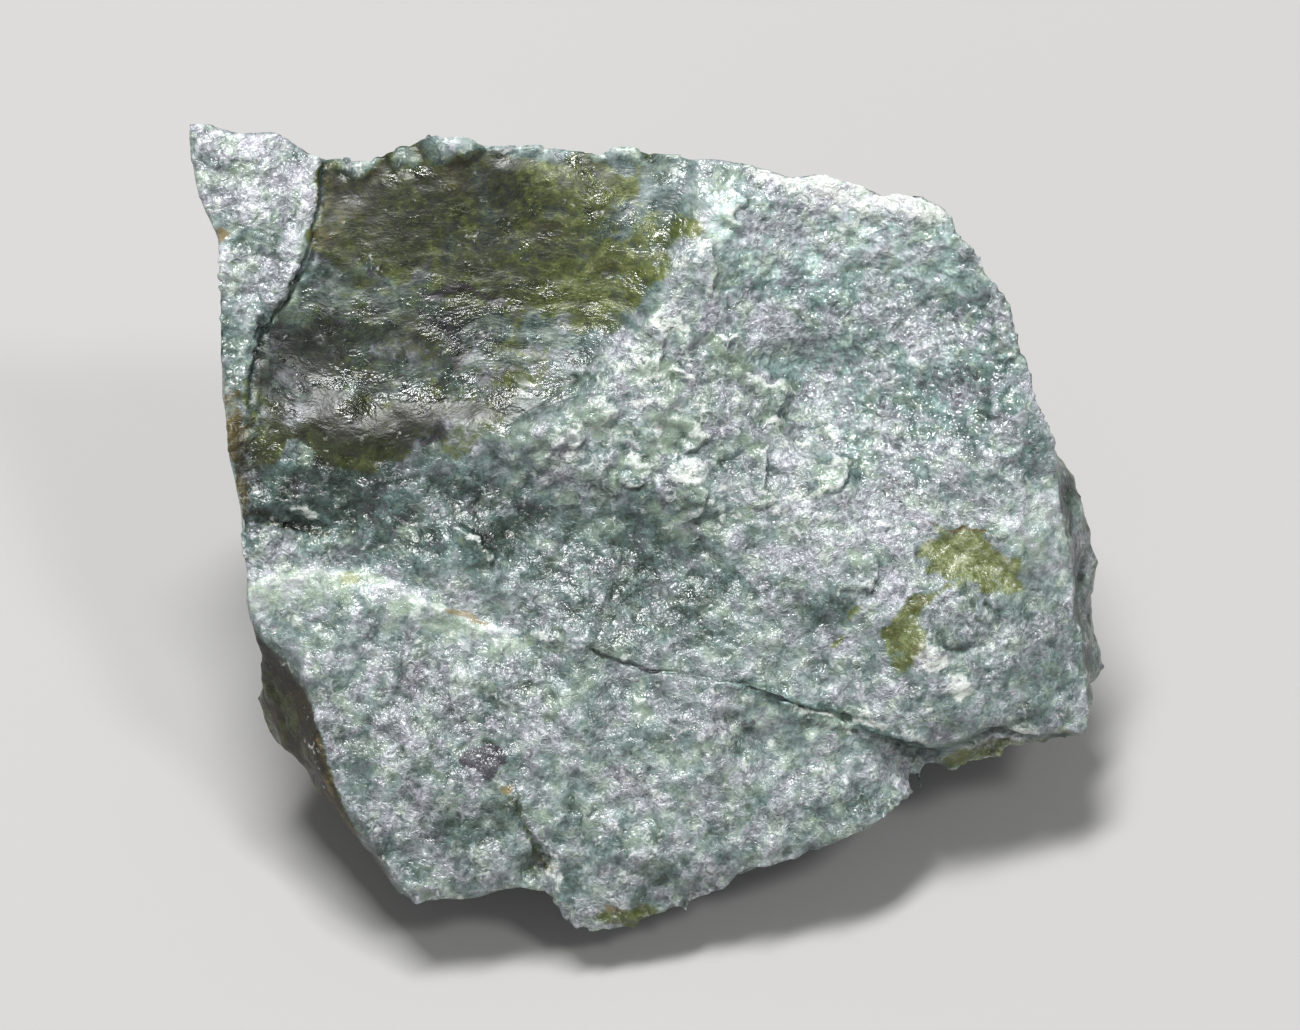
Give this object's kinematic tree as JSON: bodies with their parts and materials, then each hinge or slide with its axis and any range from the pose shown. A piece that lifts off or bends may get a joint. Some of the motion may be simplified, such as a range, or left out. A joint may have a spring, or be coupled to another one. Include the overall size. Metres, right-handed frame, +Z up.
{
  "type": "raw jade specimen",
  "caption": "Broken piece of raw green jade: a rough grainy fracture face with a smooth olive dip, flaked sides and back, and a flat face to stand on.",
  "frame": {"origin": "on the surface that the stone stands on, under the middle of its bounding box", "axes": "+X along the stone's width, its longest side; the broad fracture face looks to -Y and up at 50 degrees; +Z up, its shortest side"},
  "size_m": [0.0468, 0.0336, 0.0305],
  "materials": {
    "jade": "broken raw jade: mottled grey-green and pale mint with dark green, olive and lavender patches, sugary grain with small vitreous glints, roughness about 0.4"
  },
  "bodies": {
    "root": {"jade_stone": "jade"}
  },
  "joints": []
}
